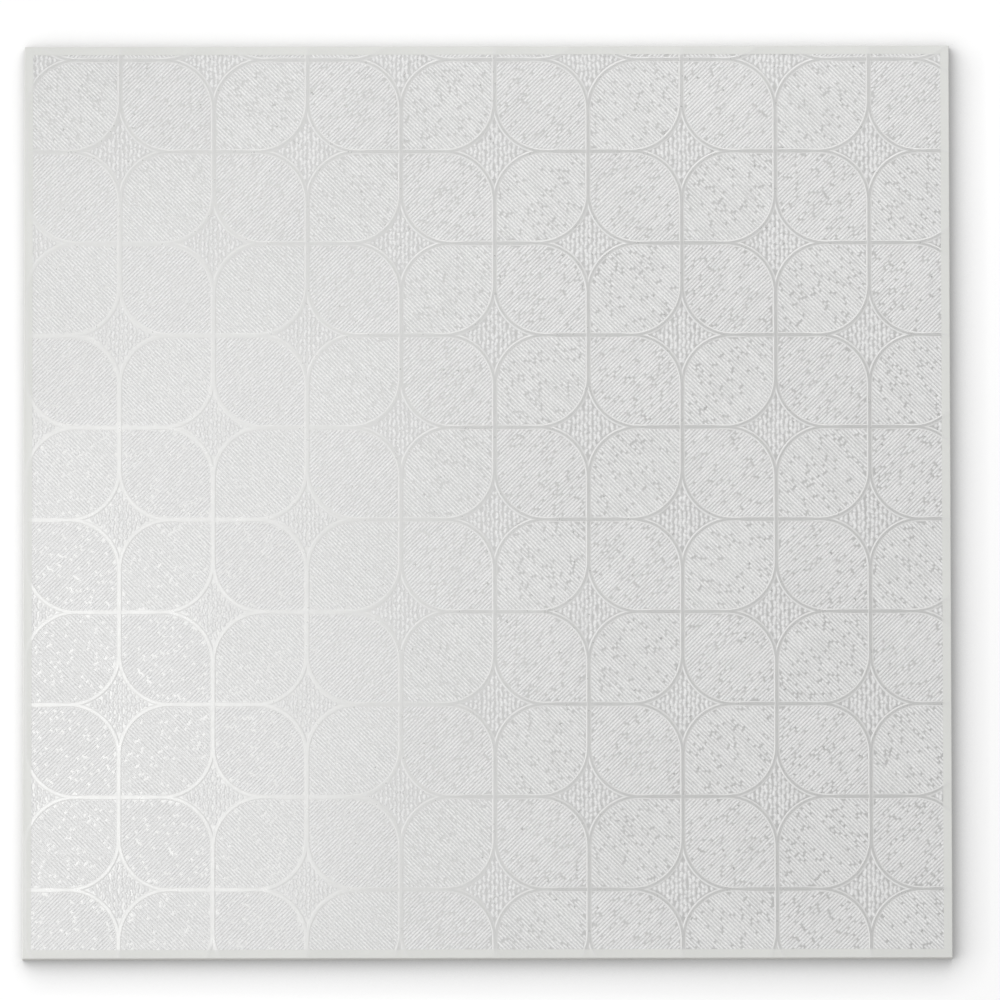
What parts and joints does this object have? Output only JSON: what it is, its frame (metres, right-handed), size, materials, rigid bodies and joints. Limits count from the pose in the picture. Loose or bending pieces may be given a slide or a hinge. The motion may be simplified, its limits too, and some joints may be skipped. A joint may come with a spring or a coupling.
{
  "type": "gypsum ceiling tile",
  "caption": "Square white film-faced gypsum ceiling tile with a raised lattice of round-cornered fields and four-pointed stars on its face and a flat back.",
  "frame": {"origin": "centre of the tile's flat back", "axes": "+Z out of the patterned face, +X and +Y along the tile's edges, +Y towards the picture's upper edge"},
  "size_m": [0.595, 0.595, 0.0075],
  "materials": {
    "film_faced_gypsum": "satin"
  },
  "bodies": {
    "root": {"ceiling_tile": "film_faced_gypsum"}
  },
  "joints": []
}
